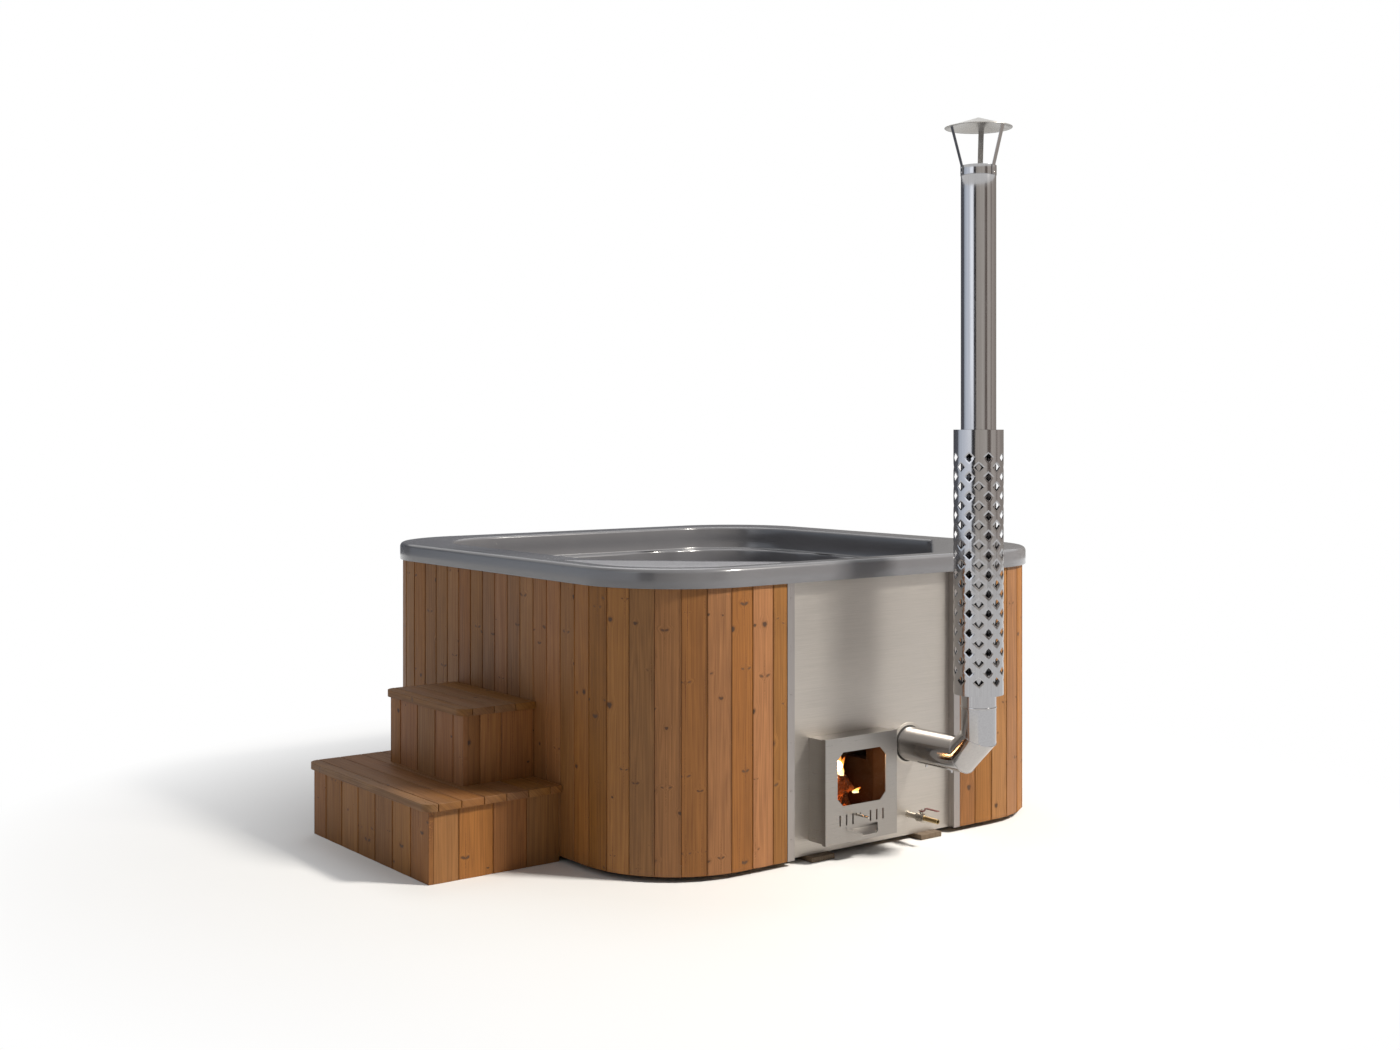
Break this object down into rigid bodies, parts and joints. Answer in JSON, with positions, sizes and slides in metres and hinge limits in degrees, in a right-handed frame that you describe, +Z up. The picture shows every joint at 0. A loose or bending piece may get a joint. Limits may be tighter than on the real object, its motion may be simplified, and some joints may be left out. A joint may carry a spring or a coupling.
{
  "type": "wooden hot tub",
  "caption": "Square outdoor bath with rounded corners, upright wooden boards and a moulded shell, heated by a built-in wood stove with a tall flue; wooden steps at its side.",
  "frame": {"origin": "middle of the tub on the floor, on the underside of its middle skid", "axes": "+Z up, -Y out through the heater's door, -X towards the steps"},
  "size_m": [2.692, 2.598, 2.7505],
  "materials": {
    "boards": "oiled heat-treated pine, satin",
    "frame_wood": "sawn and treated pine",
    "shell": "gloss acrylic",
    "panel": "fine brushed stainless steel",
    "trim": "satin stainless steel",
    "door_steel": "satin stainless steel",
    "flue_steel": "polished stainless steel",
    "firebox_steel": "heat-darkened steel",
    "grate_iron": "cast, sooty",
    "firewood": "split logs, partly charred",
    "glass": "heat-proof glass",
    "seal": "woven rope",
    "plated": "nickel-plated",
    "brass": "turned brass",
    "lever_red": "dipped coating"
  },
  "bodies": {
    "tub": {"base_skids": "frame_wood", "base_beams": "frame_wood", "floor_deck": "frame_wood", "shell_bearers": "frame_wood", "wall_posts": "frame_wood", "wall_rails": "frame_wood", "corner_battens": "frame_wood", "boards_front_left": "boards", "boards_corner_front_left": "boards", "boards_left": "boards", "boards_corner_back_left": "boards", "boards_back": "boards", "boards_corner_back_right": "boards", "boards_right": "boards", "boards_corner_front_right": "boards", "boards_front_right": "boards", "tub_shell": "shell", "heater_panel": "panel", "panel_trims": "trim", "firebox": "firebox_steel", "water_jacket": "door_steel", "smoke_box": "firebox_steel", "grate": "grate_iron", "firewood": "firewood", "loop_pipes": "door_steel", "loop_flanges": "plated", "door_collar": "door_steel", "hinge_knuckles": "door_steel", "hinge_pins": "plated", "flue_collar": "flue_steel", "flue_elbow": "flue_steel", "soot_hatch": "flue_steel", "chimney_pipe_lower": "flue_steel", "chimney_pipe_upper": "flue_steel", "heat_shield": "flue_steel", "shield_spacers": "flue_steel", "cap_collar": "flue_steel", "cap_straps": "flue_steel", "rain_cap": "flue_steel", "drain_fitting": "plated", "drain_pipe": "door_steel", "drain_nipple": "plated", "valve_body": "plated", "hose_tail": "brass", "lower_step_frame": "frame_wood", "upper_step_frame": "frame_wood", "step_boards": "boards", "lower_tread": "boards", "upper_tread": "boards"},
    "heater_door": {"door_leaf": "door_steel", "door_glass": "glass", "glass_clips": "door_steel", "door_seal": "seal", "door_pull": "door_steel", "slide_guides": "door_steel"},
    "air_slide": {"air_slide": "door_steel", "slide_rod": "plated"},
    "drain_lever": {"valve_ball": "plated", "valve_stem": "plated", "valve_lever": "lever_red"}
  },
  "joints": [
    {"name": "door_hinge", "type": "hinge", "parent": "tub", "child": "heater_door", "pos_m": [0.044, -1.112, 0.264], "axis": [0, 0, 1], "range_deg": [0, 95]},
    {"name": "air_slide_travel", "type": "slide", "parent": "heater_door", "child": "air_slide", "axis": [1, 0, 0], "range_m": [0, 0.016]},
    {"name": "drain_lever_turn", "type": "hinge", "parent": "tub", "child": "drain_lever", "pos_m": [0.19, -1.1055, 0.1], "axis": [0, 0, 1], "range_deg": [0, 90]}
  ]
}
